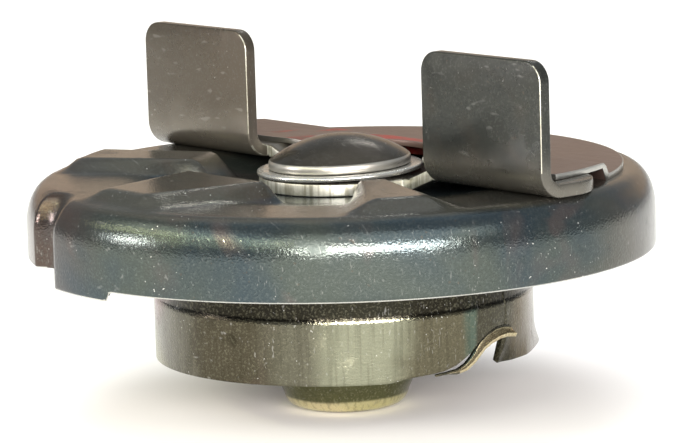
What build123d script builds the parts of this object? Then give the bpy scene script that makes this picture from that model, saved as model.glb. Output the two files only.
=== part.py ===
from build123d import *
import os
from math import cos, radians, sin

# Fuel tank cap with a winged handle: a pressed steel cover over a bayonet cup.
# Millimetres, Z up. The axis of the cap is the Z axis, the two ears of the handle lie along X,
# the label plate is on the +Y side, and z = 0 is the underside of the valve housing it stands on.

fit_gap = 0.05                  # air between parts that are set into each other

# Heights
edge_z = 24.3                   # bottom edge of the cover's skirt
cover_top_z = edge_z + 11.8     # flat ring of the cover
recess_z = edge_z + 9.6         # sunk centre of the cover
rib_top_z = edge_z + 13.7       # crest of the pressed ribs

# Cover
cover_radius = 48.0
cover_sheet = 1.0
corner_width = 3.8              # the skirt rolls into the flat ring on a quarter ellipse
corner_drop = 6.0
recess_radius = 18.5
recess_rim_radius = 33.0
flute_angles = (-108.0, 72.0)
flute_radius = 4.6
flute_depth = 2.6
flute_lip_radius = 1.6
flute_lip_share = 0.5           # share of the sheet that the lip's radius loses on the inside
scoop_radius = 6.2              # each flute runs out in a round scoop over the rolled corner
scoop_reach = 50.5
scoop_z = edge_z + 12.5
lobe_start = 2.0                # degrees from a flute's middle to the skirt that hangs lower
lobe_span = 20.5
lobe_drop = 1.5
ribs = (                        # angle, half width of the crest at its hub end and its rim end
    (-150.0, 4.0, 4.0), (-90.0, 8.6, 4.0), (-28.0, 1.6, 3.0))
rib_hub_flank = 2.0             # how far each side of a rib spreads from crest to foot
rib_rim_flank = 6.6
rib_foot_inner = 18.2           # distances along a rib: foot, crest, end of the crest, run-out
rib_crest_inner = 22.6
rib_crest_outer = 41.0
rib_foot_outer = 44.2
rib_shoulder = 0.3              # height of a rib's side below its foot line
rib_depth = 3.0                 # how far a rib's solid reaches below the flat ring
rib_side_share = 0.4            # share of the sheet that a rib's half width loses on the inside
breather_hole_radius = 1.2
breather_circle_radius = 8.5

# Handle
handle_sheet = 2.0
hub_radius = 12.4
hub_z = recess_z
foot_z = cover_top_z
joggle_start = 13.5
joggle_end = 19.0
bar_front = 2.0
bar_back = 13.0
foot_corner_radius = 7.0
ear_inner = 20.5
ear_outer = 46.2
ear_front = -1.25
ear_top_z = edge_z + 31.9
ear_corner_radius = 3.2
bend_radius = 4.0

# Label plate
label_sheet = 0.8
label_radius = 43.2
label_front = 4.6
label_raised_z = foot_z + handle_sheet
label_step_start = 17.4
label_step_end = 18.8
label_hub_radius = 14.6

# Rivet stack
shank_radius = 4.2
washer_radius = 12.7
washer_sheet = 0.75
washer_z = hub_z + handle_sheet
dome_radius = 10.9
dome_rim = 0.6
dome_height = 4.9
spring_sheet = 0.6
spring_z = recess_z - cover_sheet - spring_sheet
cup_top_z = spring_z
housing_flange_sheet = 0.8
lower_washer_radius = 7.0
lower_washer_sheet = 0.8
peen_radius = 5.8
peen_height = 1.6

# Bayonet cup
cup_radius = 29.1
cup_sheet = 0.9
cup_corner_radius = 2.2
cup_bottom_z = edge_z - 15.8
cam_angles = (0.0, 180.0)
cam_middle = 3.0                # degrees from the cam angle to the middle of its rising edge
cam_line = (                    # along the wall from that middle, and height over the cup's edge
    (-7.0, 0.0), (-2.6, 1.7), (0.0, 3.9), (4.3, 5.6), (7.8, 5.1))
cam_line_slopes = (0.15, -0.25)
notch_end = 6.0                 # along the wall, from the middle: cut edge of the wall beyond
lip_lean = 79.0                 # degrees from the cam angle to where the lip would be deepest
lip_shift = 2.5
lip_sheet = 0.9
lip_below = 1.0
cam_cut_depth = 6.0             # the cam's cutting block starts this far inside the wall
cam_cut_reach = 8.0
flare_angle = 70.0              # middle of the wall that is flared beside the first cam
flare_radius = 25.6
flare_shift = 4.6
flare_out = 1.4
flare_height = 4.0
stop_count = 4                  # small domes that the seal plate rests on
stop_height = 2.0
stop_depth = 1.2

# Seal
seal_plate_sheet = 0.7
seal_plate_z = edge_z + 6.0
seal_rim_drop = 2.0
seal_inner_radius = 29.5
seal_outer_radius = 42.6
gasket_z = edge_z + 3.3
gasket_inner_radius = 30.7
gasket_edge_radius = 0.6

# Star spring
star_hub_radius = 11.4
star_tip_radius = 37.5
star_arms = 6
star_arm_root = 7.0
star_arm_tip = 4.6
star_bend_radius = 27.5

# Valve housing
housing_radius = 10.7
housing_sheet = 0.8
housing_taper_z = 4.3
housing_foot_radius = 9.7
housing_foot_rounding = 2.2
housing_mouth_radius = 3.0
housing_flange_radius = 16.0
housing_rivet_circle = 13.4
housing_rivet_radius = 1.0
housing_rivet_head = 1.7
housing_rivet_head_height = 0.5

# Valves inside the housing
filter_height = 3.1
filter_rim_gap = 1.1
filter_taper = 1.2
filter_ring_height = 0.6
filter_ring_hole = 7.4
filter_ring_gap = 0.2
seat_z = 10.0
seat_sheet = 1.0
seat_hole_radius = 5.0
seat_lip_height = 0.6
seat_lip_width = 0.8
seal_disc_radius = 7.6
seal_disc_hole = 2.6
seal_disc_height = 1.2
pressure_plate_radius = 8.2
pressure_plate_sheet = 0.8
air_hole_radius = 0.5
air_hole_circle = 1.9
stem_radius = 1.0
vacuum_disc_radius = 4.2
vacuum_disc_height = 0.9
clip_radius = 2.2
clip_height = 0.6
clip_z = 18.6
stem_end = 0.7
retainer_z = 24.0
retainer_sheet = 0.8
retainer_hole_radius = 3.5
pressure_wire = 0.45
pressure_coil_radius = 6.2
pressure_turns = 4.5
vacuum_wire = 0.2
vacuum_coil_radius = 1.6
vacuum_turns = 5


os.makedirs("parts", exist_ok=True)


def sheet_line(points, thickness):
    """Closed outline of a bent sheet: points run along its underside, from left to right."""
    upper = [(x, z + thickness) for x, z in reversed(points)]
    with BuildLine() as outline:
        Polyline(*points, *upper, close=True)
    return outline.line


def save(block, name):
    block.part.label = name
    export_step(block.part, f"parts/{name}.step")


def pie(angle_from, angle_to, reach):
    """Corner points of a wedge from the axis."""
    middle = (angle_from + angle_to) / 2
    angles = (angle_from, middle, angle_to)
    return [(0, 0)] + [(reach * cos(radians(a)), reach * sin(radians(a))) for a in angles]


def wall_plane(angle, reach, height):
    """Plane square to the radius at an angle: x along the wall, y up."""
    out = (cos(radians(angle)), sin(radians(angle)), 0)
    along = (-sin(radians(angle)), cos(radians(angle)), 0)
    return Plane(origin=(reach * out[0], reach * out[1], height), x_dir=along, z_dir=out)


def rib_section(half_width, flank, rise):
    """Corners of a rib's section: crest, shallow flanks and upright sides below the flat ring."""
    foot = half_width + flank
    shoulder = min(rise, 0) - rib_shoulder
    return [
        (-foot, -rib_depth), (foot, -rib_depth), (foot, shoulder),
        (half_width, rise), (-half_width, rise), (-foot, shoulder)]


def cover_form(inset):
    """Solid block bounded by one face of the pressed cover, inset from its outside."""
    radius = cover_radius - inset
    top = cover_top_z - inset
    flat_radius = cover_radius - corner_width
    low = edge_z - lobe_drop
    with BuildPart() as form:
        with BuildSketch(Plane.XZ):
            with BuildLine():
                Polyline((0, low), (radius, low), (radius, top - corner_drop))
                EllipticalCenterArc(
                    (flat_radius, top - corner_drop), radius - flat_radius, corner_drop,
                    arc_size=90)
                Polyline(
                    (flat_radius, top), (recess_rim_radius, top),
                    (recess_radius, recess_z - inset), (0, recess_z - inset), (0, low))
            make_face()
        revolve(axis=Axis.Z)
        with BuildSketch(Plane.XY.offset(low)) as skirt:
            Circle(radius)
            with PolarLocations(cover_radius - flute_depth + flute_radius, 1, flute_angles[0]):
                Circle(flute_radius + inset, mode=Mode.SUBTRACT)
            with PolarLocations(cover_radius - flute_depth + flute_radius, 1, flute_angles[1]):
                Circle(flute_radius + inset, mode=Mode.SUBTRACT)
            fillet(skirt.vertices(), flute_lip_radius - flute_lip_share * inset)
        extrude(amount=rib_top_z - low, mode=Mode.INTERSECT)
        with Locations((0, 0, scoop_z)):
            with PolarLocations(scoop_reach, 2, flute_angles[0]):
                Sphere(scoop_radius + inset, mode=Mode.SUBTRACT)
        sunk = recess_z - cover_top_z - fit_gap
        crest = rib_top_z - cover_top_z
        for angle, hub_half, rim_half in ribs:
            stations = (
                (rib_foot_inner + inset, hub_half, rib_hub_flank, sunk),
                (rib_crest_inner + inset, hub_half, rib_hub_flank, crest),
                (rib_crest_outer - inset, rim_half, rib_rim_flank, crest),
                (rib_foot_outer, rim_half, rib_hub_flank, -fit_gap))
            for reach, half_width, flank, rise in stations:
                inner_half = half_width - rib_side_share * inset
                with BuildSketch(wall_plane(angle, reach, top)):
                    Polygon(*rib_section(inner_half, flank, rise), align=None)
            loft(ruled=True)
    return form


# Outer cover: one pressed sheet with skirt, two grip flutes, three ribs and a sunk centre.
outside = cover_form(0)
inside = cover_form(cover_sheet)
with BuildPart() as outer_cover:
    add(outside.part)
    add(inside.part, mode=Mode.SUBTRACT)
    # the skirt is trimmed to its edge, except for the lobe beside each flute
    with BuildSketch(Plane.XY.offset(edge_z - lobe_drop)):
        Circle(2 * cover_radius)
        for angle in flute_angles:
            lobe_angle = angle + lobe_start
            with BuildLine():
                Polyline(*pie(lobe_angle, lobe_angle + lobe_span, 3 * cover_radius), close=True)
            make_face(mode=Mode.SUBTRACT)
    extrude(amount=lobe_drop, mode=Mode.SUBTRACT)
    with Locations((0, 0, recess_z)):
        Hole(shank_radius)
    with Locations((0, 0, recess_z)):
        with PolarLocations(breather_circle_radius, 3, 30):
            Hole(breather_hole_radius)
save(outer_cover, "outer_cover")


# Handle plate: one thick stamping with a hub, two joggled arms and two ears bent up at the front.
with BuildPart() as handle_plate:
    with BuildSketch(Plane.XZ.offset(-bar_back - 1)):
        underside = [
            (-ear_outer, foot_z), (-joggle_end, foot_z), (-joggle_start, hub_z),
            (joggle_start, hub_z), (joggle_end, foot_z), (ear_outer, foot_z)]
        add(sheet_line(underside, handle_sheet))
        make_face()
    extrude(amount=bar_back + 1 + hub_radius + 1)
    with BuildSketch(Plane.XY.offset(hub_z)) as plan:
        with BuildLine():
            bend_line = ear_front + bend_radius
            Polyline(
                (-ear_outer, bend_line), (-ear_outer, bar_back), (ear_outer, bar_back),
                (ear_outer, bend_line), (ear_inner, bend_line), (ear_inner - 1, bar_front),
                (1 - ear_inner, bar_front), (-ear_inner, bend_line), close=True)
        make_face()
        fillet(plan.vertices().group_by(Axis.Y)[-1], foot_corner_radius)
        Circle(hub_radius)
    extrude(amount=foot_z - hub_z + handle_sheet, mode=Mode.INTERSECT)
    # each ear: a quarter bend out of the foot, then a flat plate with rounded top corners
    for middle in (ear_inner + ear_outer, -ear_inner - ear_outer):
        with BuildSketch(Plane.YZ.offset(middle / 2)):
            with Locations((ear_front + bend_radius, foot_z + bend_radius)):
                Circle(bend_radius)
                Circle(bend_radius - handle_sheet, mode=Mode.SUBTRACT)
                Rectangle(
                    2 * bend_radius, 2 * bend_radius, align=(Align.MIN, Align.CENTER),
                    mode=Mode.SUBTRACT)
                Rectangle(
                    2 * bend_radius, 2 * bend_radius, align=(Align.CENTER, Align.MIN),
                    mode=Mode.SUBTRACT)
        extrude(amount=(ear_outer - ear_inner) / 2, both=True)
        with BuildSketch(Plane.XZ.offset(-ear_front - handle_sheet)) as ear:
            with Locations((middle / 2, foot_z + bend_radius)):
                Rectangle(
                    ear_outer - ear_inner, ear_top_z - foot_z - bend_radius,
                    align=(Align.CENTER, Align.MIN))
            fillet(ear.vertices().group_by(Axis.Y)[-1], ear_corner_radius)
        extrude(amount=handle_sheet)
    with Locations((0, 0, hub_z + handle_sheet)):
        Hole(shank_radius)
save(handle_plate, "handle_plate")

# Label plate: a thin segment that lies on the cover at the back and steps up over the handle's feet.
with BuildPart() as label_plate:
    with BuildSketch(Plane.YZ.offset(-label_radius)):
        underside = [
            (label_front, label_raised_z), (label_step_start, label_raised_z),
            (label_step_end, cover_top_z), (label_radius, cover_top_z)]
        add(sheet_line(underside, label_sheet))
        make_face()
    extrude(amount=2 * label_radius)
    with BuildSketch(Plane.XY.offset(cover_top_z)):
        Circle(label_radius)
        Circle(label_hub_radius, mode=Mode.SUBTRACT)
    extrude(amount=label_raised_z + label_sheet - cover_top_z, mode=Mode.INTERSECT)
save(label_plate, "label_plate")

# Centre rivet: domed head above the washer, shank through the stack, end peened over below.
peen_z = cup_top_z - cup_sheet - lower_washer_sheet - peen_height
dome_z = washer_z + washer_sheet
dome_rise = dome_height - dome_rim
dome_curve = (dome_radius ** 2 + dome_rise ** 2) / (2 * dome_rise)
with BuildPart() as centre_rivet:
    with BuildSketch(Plane.XZ):
        with BuildLine():
            Polyline(
                (0, dome_z + dome_height), (0, peen_z), (peen_radius - 1, peen_z),
                (peen_radius, peen_z + 1), (peen_radius, peen_z + peen_height),
                (shank_radius, peen_z + peen_height), (shank_radius, dome_z),
                (dome_radius, dome_z), (dome_radius, dome_z + dome_rim))
            RadiusArc((dome_radius, dome_z + dome_rim), (0, dome_z + dome_height), -dome_curve)
        make_face()
    revolve(axis=Axis.Z)
save(centre_rivet, "centre_rivet")


def washer(name, bottom, height, outer, inner):
    """Flat ring on the cap's axis."""
    with BuildPart() as ring:
        with BuildSketch(Plane.XY.offset(bottom)):
            Circle(outer)
            Circle(inner, mode=Mode.SUBTRACT)
        extrude(amount=height)
    save(ring, name)


washer("rivet_washer", washer_z, washer_sheet, washer_radius, shank_radius)
washer(
    "lower_washer", cup_top_z - cup_sheet - lower_washer_sheet, lower_washer_sheet,
    lower_washer_radius, shank_radius)

# Star spring: six sprung arms that press the seal plate down.
seal_top_z = seal_plate_z + seal_plate_sheet
with BuildPart() as star_spring:
    with BuildSketch(Plane.XZ):
        underside = [
            (shank_radius, spring_z), (star_bend_radius, spring_z), (star_tip_radius, seal_top_z)]
        add(sheet_line(underside, spring_sheet))
        make_face()
    revolve(axis=Axis.Z)
    with BuildSketch(Plane.XY.offset(seal_top_z)):
        Circle(star_hub_radius)
        with PolarLocations(0, star_arms):
            Polygon(
                (0, -star_arm_root / 2), (star_tip_radius, -star_arm_tip / 2),
                (star_tip_radius, star_arm_tip / 2), (0, star_arm_root / 2), align=None)
    extrude(amount=spring_z + spring_sheet - seal_top_z, mode=Mode.INTERSECT)
    with Locations((0, 0, spring_z + spring_sheet)):
        with PolarLocations(breather_circle_radius, 3, 30):
            Hole(breather_hole_radius)
save(star_spring, "star_spring")


def cam_curve():
    """Edge of the cam in the plane of the wall: it rises in an S and runs out gently."""
    start_slope, end_slope = cam_line_slopes
    return Spline(*cam_line, tangents=[(1, start_slope), (1, end_slope)])


def cup_form(inset):
    """Solid block bounded by one face of the cup's wall, which is flared beside the first cam."""
    flare_plane = Plane.XY.rotated((0, 0, flare_angle))
    with BuildPart() as form:
        with BuildSketch(Plane.XY.offset(cup_bottom_z)):
            Circle(cup_radius - inset)
        extrude(amount=cup_top_z - inset - cup_bottom_z)
        fillet(form.edges().group_by(Axis.Z)[-1], cup_corner_radius - inset)
        with BuildSketch(flare_plane.offset(cup_bottom_z)):
            with Locations((flare_shift, 0)):
                Circle(flare_radius - inset)
        with BuildSketch(flare_plane.offset(cup_bottom_z + flare_height)):
            with Locations((flare_shift, 0)):
                Circle(flare_radius - flare_out - inset)
        loft()
    return form


# Bayonet cup: a drawn cup, open below, whose edge is lanced into two cams with turned-out lips.
cup_outside = cup_form(0)
cup_inside = cup_form(cup_sheet)
cam_top_z = cup_bottom_z + max(height for along, height in cam_line) + lip_sheet
with BuildPart() as cam_lips:
    for angle in cam_angles:
        with BuildSketch(wall_plane(angle + cam_middle, cup_radius - cam_cut_depth, cup_bottom_z)):
            with BuildLine():
                cam_curve()
            trace(line_width=lip_sheet)
        extrude(amount=cam_cut_reach)
    # a lip deepens from its foot to its free end, because its outline's centre is off the axis
    with BuildSketch(Plane.XY.offset(cup_bottom_z - lip_below)):
        for angle in cam_angles:
            with PolarLocations(lip_shift, 1, angle + lip_lean):
                Circle(cup_radius)
        Circle(cup_radius - cup_sheet, mode=Mode.SUBTRACT)
    extrude(amount=cam_top_z - cup_bottom_z + lip_below, mode=Mode.INTERSECT)
with BuildPart() as bayonet_cup:
    add(cup_outside.part)
    add(cup_inside.part, mode=Mode.SUBTRACT)
    for angle in cam_angles:
        with BuildSketch(wall_plane(angle + cam_middle, cup_radius - cam_cut_depth, cup_bottom_z)):
            foot, tail = cam_line[0], cam_line[-1]
            with BuildLine():
                cam_curve()
                Polyline(tail, (tail[0], -lip_below), (foot[0], -lip_below), foot)
            make_face()
            with Locations((notch_end, 0)):
                Rectangle(
                    tail[0], 4 * tail[1], align=(Align.MIN, Align.CENTER), mode=Mode.SUBTRACT)
        extrude(amount=cam_cut_reach, mode=Mode.SUBTRACT)
    add(cam_lips.part)
    with Locations((0, 0, cup_top_z)):
        Hole(shank_radius)
        with PolarLocations(breather_circle_radius, 3, 30):
            Hole(breather_hole_radius)
        with PolarLocations(housing_rivet_circle, 3, 30):
            Hole(housing_rivet_radius)
    with BuildSketch(Plane.XY.offset(seal_plate_z - stop_height)):
        with PolarLocations(cup_radius - cup_sheet / 2, stop_count, 45):
            Circle(stop_depth + cup_sheet / 2)
    extrude(amount=stop_height - fit_gap)
save(bayonet_cup, "bayonet_cup")

# Seal plate: a ring turned down at its rim, which backs the gasket.
with BuildPart() as seal_plate:
    with BuildSketch(Plane.XZ):
        with BuildLine():
            rim_z = seal_plate_z - seal_rim_drop
            Polyline(
                (seal_inner_radius, seal_top_z), (seal_inner_radius, seal_plate_z),
                (seal_outer_radius - seal_plate_sheet, seal_plate_z),
                (seal_outer_radius - seal_plate_sheet, rim_z), (seal_outer_radius, rim_z),
                (seal_outer_radius, seal_top_z), close=True)
        make_face()
    revolve(axis=Axis.Z)
save(seal_plate, "seal_plate")

with BuildPart() as gasket_ring:
    with BuildSketch(Plane.XY.offset(gasket_z)):
        Circle(seal_outer_radius - seal_plate_sheet - fit_gap)
        Circle(gasket_inner_radius, mode=Mode.SUBTRACT)
    extrude(amount=seal_plate_z - gasket_z)
    fillet(gasket_ring.edges().group_by(Axis.Z)[0], gasket_edge_radius)
save(gasket_ring, "gasket_ring")

# Valve housing: a flanged tube, necked in at its foot, with a mouth in its underside.
flange_z = cup_top_z - cup_sheet - housing_flange_sheet
bore_radius = housing_radius - housing_sheet
with BuildPart() as valve_housing:
    with BuildSketch(Plane.XZ):
        with BuildLine():
            Polyline(
                (0, 0), (housing_foot_radius, 0), (housing_radius, housing_taper_z),
                (housing_radius, flange_z), (0, flange_z), close=True)
        make_face()
    revolve(axis=Axis.Z)
    fillet(valve_housing.edges().group_by(Axis.Z)[0], housing_foot_rounding)
    offset(amount=-housing_sheet, openings=valve_housing.faces().sort_by(Axis.Z)[-1])
    with BuildSketch(Plane.XY.offset(flange_z)):
        Circle(housing_flange_radius)
        Circle(bore_radius, mode=Mode.SUBTRACT)
        with PolarLocations(housing_rivet_circle, 3, 30):
            Circle(housing_rivet_radius, mode=Mode.SUBTRACT)
    extrude(amount=housing_flange_sheet)
    with Locations((0, 0, housing_sheet)):
        Hole(housing_mouth_radius)
save(valve_housing, "valve_housing")

# Three small rivets hang the housing's flange under the cup.
with BuildPart() as housing_rivets:
    with BuildSketch(Plane.XY.offset(flange_z)):
        with PolarLocations(housing_rivet_circle, 3, 30):
            Circle(housing_rivet_radius)
    extrude(amount=cup_top_z - flange_z)
    for head_z in (flange_z - housing_rivet_head_height, cup_top_z):
        with BuildSketch(Plane.XY.offset(head_z)):
            with PolarLocations(housing_rivet_circle, 3, 30):
                Circle(housing_rivet_head)
        extrude(amount=housing_rivet_head_height)
save(housing_rivets, "housing_rivets")

# Filter at the mouth of the housing, held by a ring
pad_radius = bore_radius - filter_rim_gap
with BuildPart() as filter_pad:
    with BuildSketch(Plane.XY.offset(housing_sheet)):
        Circle(pad_radius - filter_taper)
    with BuildSketch(Plane.XY.offset(housing_sheet + filter_height)):
        Circle(pad_radius)
    loft()
save(filter_pad, "filter_pad")
washer(
    "filter_ring", housing_sheet + filter_height, filter_ring_height,
    bore_radius - filter_ring_gap, filter_ring_hole)

# Valve seat: a ring in the bore with a raised lip that the rubber closes on.
with BuildPart() as valve_seat:
    with BuildSketch(Plane.XY.offset(seat_z)):
        Circle(bore_radius - fit_gap)
        Circle(seat_hole_radius, mode=Mode.SUBTRACT)
    extrude(amount=seat_sheet)
    with BuildSketch(Plane.XY.offset(seat_z + seat_sheet)):
        Circle(seat_hole_radius + seat_lip_width)
        Circle(seat_hole_radius, mode=Mode.SUBTRACT)
    extrude(amount=seat_lip_height)
save(valve_seat, "valve_seat")

# Pressure valve: a plate with a rubber disc under it, pushed down by a coil spring.
seal_disc_z = seat_z + seat_sheet + seat_lip_height
plate_z = seal_disc_z + seal_disc_height
plate_top_z = plate_z + pressure_plate_sheet
washer("pressure_seal", seal_disc_z, seal_disc_height, seal_disc_radius, seal_disc_hole)
with BuildPart() as pressure_plate:
    with BuildSketch(Plane.XY.offset(plate_z)):
        Circle(pressure_plate_radius)
        Circle(stem_radius + fit_gap, mode=Mode.SUBTRACT)
        with PolarLocations(air_hole_circle, 4):
            Circle(air_hole_radius, mode=Mode.SUBTRACT)
    extrude(amount=pressure_plate_sheet)
save(pressure_plate, "pressure_plate")

# Vacuum valve: a small disc under the rubber, drawn up by its own spring on the stem.
with BuildPart() as vacuum_valve:
    with BuildSketch(Plane.XY.offset(seal_disc_z - vacuum_disc_height)):
        Circle(vacuum_disc_radius)
    extrude(amount=vacuum_disc_height)
    with BuildSketch(Plane.XY.offset(seal_disc_z)):
        Circle(stem_radius)
    extrude(amount=clip_z + clip_height + stem_end - seal_disc_z)
save(vacuum_valve, "vacuum_valve")
washer("vacuum_clip", clip_z, clip_height, clip_radius, stem_radius)

# Spring retainer: a ring staked in the bore above the pressure spring.
with BuildPart() as spring_retainer:
    with BuildSketch(Plane.XY.offset(retainer_z)):
        Circle(bore_radius - fit_gap)
        Circle(retainer_hole_radius, mode=Mode.SUBTRACT)
    extrude(amount=retainer_sheet)
save(spring_retainer, "spring_retainer")


def coil_spring(name, bottom, top, radius, wire, turns):
    """Coil of round wire that just fits between two faces."""
    height = top - bottom - 2 * wire
    with BuildPart() as coil:
        with BuildLine(Plane.XY.offset(bottom + wire)):
            path = Helix(pitch=height / turns, height=height, radius=radius)
        with BuildSketch(Plane(path @ 0, z_dir=path % 0)):
            Circle(wire)
        sweep()
    save(coil, name)


coil_spring(
    "pressure_spring", plate_top_z, retainer_z, pressure_coil_radius, pressure_wire, pressure_turns)
coil_spring(
    "vacuum_spring", plate_top_z, clip_z, vacuum_coil_radius, vacuum_wire, vacuum_turns)
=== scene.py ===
import math

import bpy
from mathutils import Matrix, Vector


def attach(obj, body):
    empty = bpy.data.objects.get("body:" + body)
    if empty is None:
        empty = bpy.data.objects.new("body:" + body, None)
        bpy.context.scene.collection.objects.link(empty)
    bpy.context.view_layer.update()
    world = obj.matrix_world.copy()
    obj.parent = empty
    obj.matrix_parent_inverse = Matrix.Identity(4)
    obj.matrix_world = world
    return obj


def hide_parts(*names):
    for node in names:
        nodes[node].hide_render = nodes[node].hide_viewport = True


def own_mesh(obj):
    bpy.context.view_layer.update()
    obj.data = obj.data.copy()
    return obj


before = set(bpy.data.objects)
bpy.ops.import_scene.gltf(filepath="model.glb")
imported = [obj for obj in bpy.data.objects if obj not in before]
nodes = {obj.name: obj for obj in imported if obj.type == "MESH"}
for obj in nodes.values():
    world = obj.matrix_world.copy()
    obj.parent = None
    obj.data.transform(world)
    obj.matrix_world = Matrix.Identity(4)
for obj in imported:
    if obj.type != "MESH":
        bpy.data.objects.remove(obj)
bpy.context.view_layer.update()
print("frame loaded:", len(nodes), "nodes")

# Camera: the photograph's viewing angle, aimed a little above the cover's bottom edge
edgeLevel = 24.3  # millimetres from the floor to the bottom edge of the cover's skirt
camera = {
    "distance": 0.5814,
    "azimuth": 49.8,
    "elevation": 9.65,
    "lens": 199.9,
    "sensor": 36.0,
    "roll": -1.73,
    "tiltUp": 0.38,
}


def towards(azimuth, elevation):
    a, e = math.radians(azimuth), math.radians(elevation)
    return Vector((math.sin(a) * math.cos(e), -math.cos(a) * math.cos(e), math.sin(e)))


def makeCamera():
    data = bpy.data.cameras.new("photoCamera")
    data.lens = camera["lens"]
    data.sensor_width = camera["sensor"]
    data.clip_start = 0.01
    data.clip_end = 30.0
    viewer = bpy.data.objects.new("photoCamera", data)
    bpy.context.scene.collection.objects.link(viewer)
    back = towards(camera["azimuth"], camera["elevation"])
    facing = (-back).to_track_quat("-Z", "Y").to_matrix().to_4x4()
    tilted = Matrix.Rotation(math.radians(camera["tiltUp"]), 4, "X")
    rolled = Matrix.Rotation(math.radians(camera["roll"]), 4, "Z")
    place = Matrix.Translation(Vector((0, 0, edgeLevel / 1000)) + back * camera["distance"])
    viewer.matrix_world = place @ facing @ tilted @ rolled
    bpy.context.scene.camera = viewer


makeCamera()
print("camera placed")

# Stage: a white floor, a grey world, soft lamps and dim cards that the plated metal mirrors
stage = {
    "floorSize": 6.0,
    "floorHeight": -0.0002,
    "floorColour": (0.93, 0.93, 0.92, 1.0),
    "floorRoughness": 0.9,
    "aimHeight": 0.03,
    "worldColour": (0.62, 0.66, 0.70, 1.0),
    "worldStrength": 0.52,
}
lamps = {
    # azimuth, elevation, distance, width, height, power, colour, mirrored by the metal
    "topLamp": (229.8, 68, 0.9, 0.8, 0.7, 4.5, (1.0, 1.0, 1.0), False),
    "frontLamp": (50, 36, 1.6, 2.0, 0.7, 9.0, (1.0, 1.0, 1.0), False),
    "keyLamp": (60, 13.5, 1.1, 1.0, 0.15, 22.0, (1.0, 0.92, 0.88), True),
    "skyCard": (229.8, 74, 1.5, 1.7, 1.1, 1.8, (0.96, 0.98, 1.0), True),
    "leftLamp": (-33, 13, 1.1, 0.20, 0.13, 3.4, (1.0, 0.92, 0.94), True),
    "stripLamp": (-12, 32, 1.6, 2.4, 0.06, 7.0, (1.0, 0.95, 0.60), True),
    "lowStrip": (0, 20, 1.6, 1.5, 0.04, 2.4, (1.0, 0.95, 0.62), True),
    "fillLamp": (62, 36, 1.6, 2.6, 0.6, 11.0, (1.0, 0.98, 0.93), True),
    "sideCard": (-22, 40, 1.6, 1.5, 0.5, 4.2, (1.0, 0.98, 0.86), True),
    "glintLamp": (219, 37, 1.4, 0.30, 0.03, 0.5, (1.0, 0.98, 0.94), True),
    "backCard": (229.8, 11, 1.6, 2.8, 0.5, 1.65, (1.0, 0.52, 0.10), True),
}


def areaLamp(name, azimuth, elevation, distance, width, height, power, colour, mirrored):
    data = bpy.data.lights.new(name, "AREA")
    data.shape = "RECTANGLE"
    data.size = width
    data.size_y = height
    data.energy = power
    data.color = colour
    lamp = bpy.data.objects.new(name, data)
    bpy.context.scene.collection.objects.link(lamp)
    back = towards(azimuth, elevation)
    lamp.location = Vector((0, 0, stage["aimHeight"])) + back * distance
    lamp.rotation_euler = (-back).to_track_quat("-Z", "Y").to_euler()
    lamp.visible_camera = False
    lamp.visible_glossy = mirrored


def makeStage():
    bpy.ops.object.select_all(action="DESELECT")
    bpy.ops.mesh.primitive_plane_add(size=stage["floorSize"], location=(0, 0, 0))
    floor = bpy.context.object
    floor.name = "floor"
    paint = bpy.data.materials.new("floorPaint")
    paint.use_nodes = True
    shader = paint.node_tree.nodes["Principled BSDF"]
    shader.inputs["Base Color"].default_value = stage["floorColour"]
    shader.inputs["Roughness"].default_value = stage["floorRoughness"]
    floor.data.materials.append(paint)
    for corner in floor.data.vertices:
        corner.co.z = stage["floorHeight"]
    world = bpy.data.worlds.new("greyWorld")
    world.use_nodes = True
    sky = world.node_tree.nodes["Background"]
    sky.inputs["Color"].default_value = stage["worldColour"]
    sky.inputs["Strength"].default_value = stage["worldStrength"]
    bpy.context.scene.world = world
    bpy.context.scene.view_settings.view_transform = "Standard"
    for name, values in lamps.items():
        areaLamp(name, *values)


makeStage()
print("stage ready", bpy.context.scene.view_settings.view_transform)

# Materials


class Wire:
    # a node's output that can be calculated with
    def __init__(self, recipe, socket):
        self.recipe = recipe
        self.socket = socket

    def maths(self, operation, first, second):
        return self.recipe.node(
            "ShaderNodeMath", {"operation": operation}, {0: first, 1: second})

    def __add__(self, other):
        return self.maths("ADD", self, other)

    def __radd__(self, other):
        return self.maths("ADD", other, self)

    def __sub__(self, other):
        return self.maths("SUBTRACT", self, other)

    def __rsub__(self, other):
        return self.maths("SUBTRACT", other, self)

    def __mul__(self, other):
        return self.maths("MULTIPLY", self, other)

    def __rmul__(self, other):
        return self.maths("MULTIPLY", other, self)


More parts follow.
